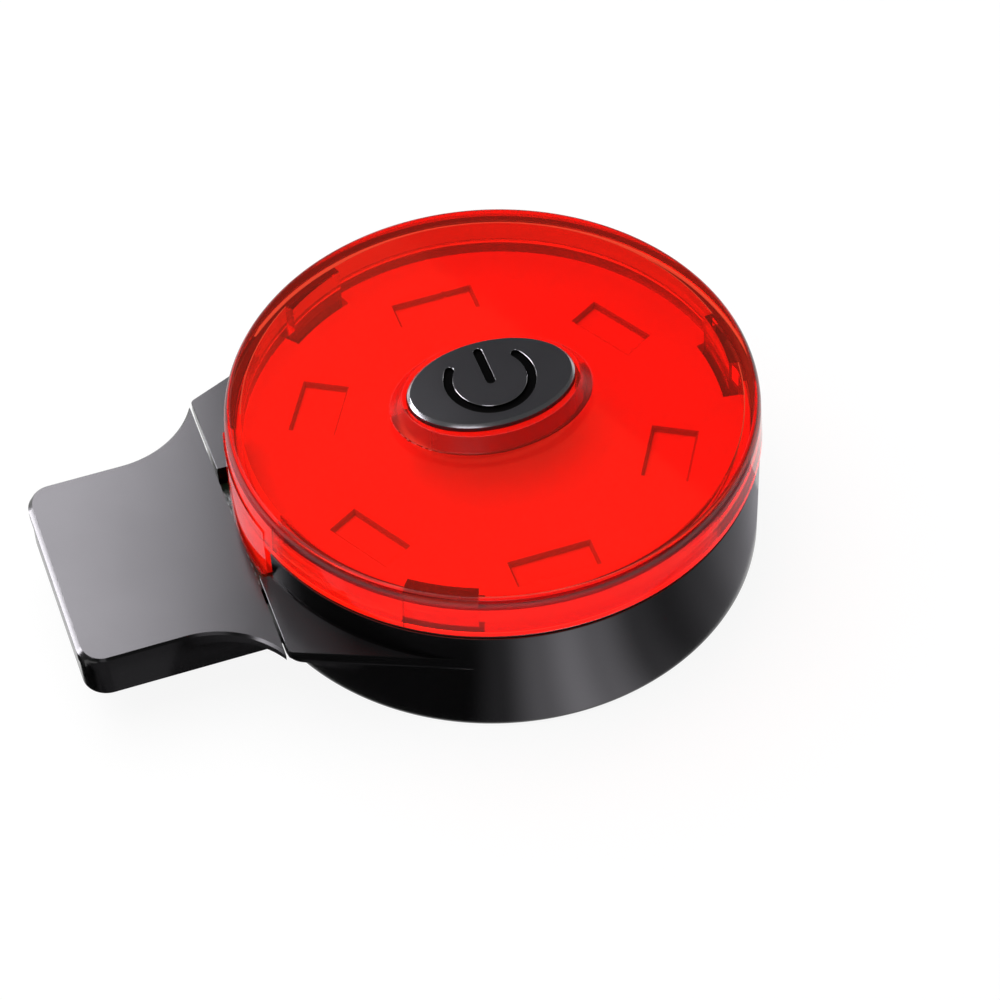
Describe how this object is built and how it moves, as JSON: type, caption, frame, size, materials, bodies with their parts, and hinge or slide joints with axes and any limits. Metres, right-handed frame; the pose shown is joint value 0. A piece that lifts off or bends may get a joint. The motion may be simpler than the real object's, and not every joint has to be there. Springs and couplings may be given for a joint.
{
  "type": "helmet tail light",
  "caption": "Round red rechargeable tail light for a helmet, with an oval power button and a flat charging plug under a pull-off cap.",
  "frame": {"origin": "centre of the round housing's flat back face", "axes": "+Z out of the back face through the lens and the button, -X along the charging plug and its cap, Y across the plug"},
  "size_m": [0.0597, 0.044, 0.0173],
  "materials": {
    "black_casing": "high gloss moulded black plastic",
    "red_lens": "clear red moulded plastic, polished",
    "red_reflector": "bright red moulded plastic, satin",
    "black_silicone": "matt moulded silicone",
    "black_button": "dark grey moulded plastic, polished edge",
    "black_component": "moulded epoxy, matt",
    "tinned_steel": "tin plated, semi bright",
    "green_board": "glass fibre board with green lacquer",
    "gold_contact": "gold plated copper",
    "black_screw": "blackened steel",
    "white_component": "white moulded lamp body",
    "lamp_lens": "clear resin over the lamp's die",
    "tan_ceramic": "fired ceramic",
    "foil_pouch": "aluminium laminate pouch, satin",
    "amber_tape": "amber film over a thin board",
    "grey_foam": "double sided foam tape",
    "red_wire": "insulated wire",
    "black_wire": "insulated wire"
  },
  "bodies": {
    "light": {"housing": "black_casing", "lens": "red_lens", "reflector_disc": "red_reflector", "rim_gasket": "black_silicone", "button_seal": "black_silicone", "switch_body": "black_component", "switch_cover": "tinned_steel", "circuit_board": "green_board", "plug_contacts": "gold_contact", "board_screws": "black_screw", "led_bodies": "white_component", "led_lenses": "lamp_lens", "resistors": "black_component", "capacitors": "tan_ceramic", "control_chip": "black_component", "charge_chip": "black_component", "drive_transistor": "black_component", "chip_legs": "tinned_steel", "battery_cell": "foil_pouch", "cell_protector": "amber_tape", "battery_pad": "grey_foam", "lead_positive": "red_wire", "lead_negative": "black_wire"},
    "button": {"button_cap": "black_button", "switch_plunger": "black_component"},
    "cap": {"cap_top": "black_casing", "cap_base": "black_casing", "cap_liner": "black_silicone"}
  },
  "joints": [
    {"name": "button_press", "type": "slide", "parent": "light", "child": "button", "axis": [0, 0, -1], "range_m": [0, 0.0003], "stiffness_N_per_m": 5000, "deforming": ["button_seal"]},
    {"name": "cap_pull", "type": "slide", "parent": "light", "child": "cap", "axis": [-1, 0, 0], "range_m": [0, 0.016]}
  ]
}
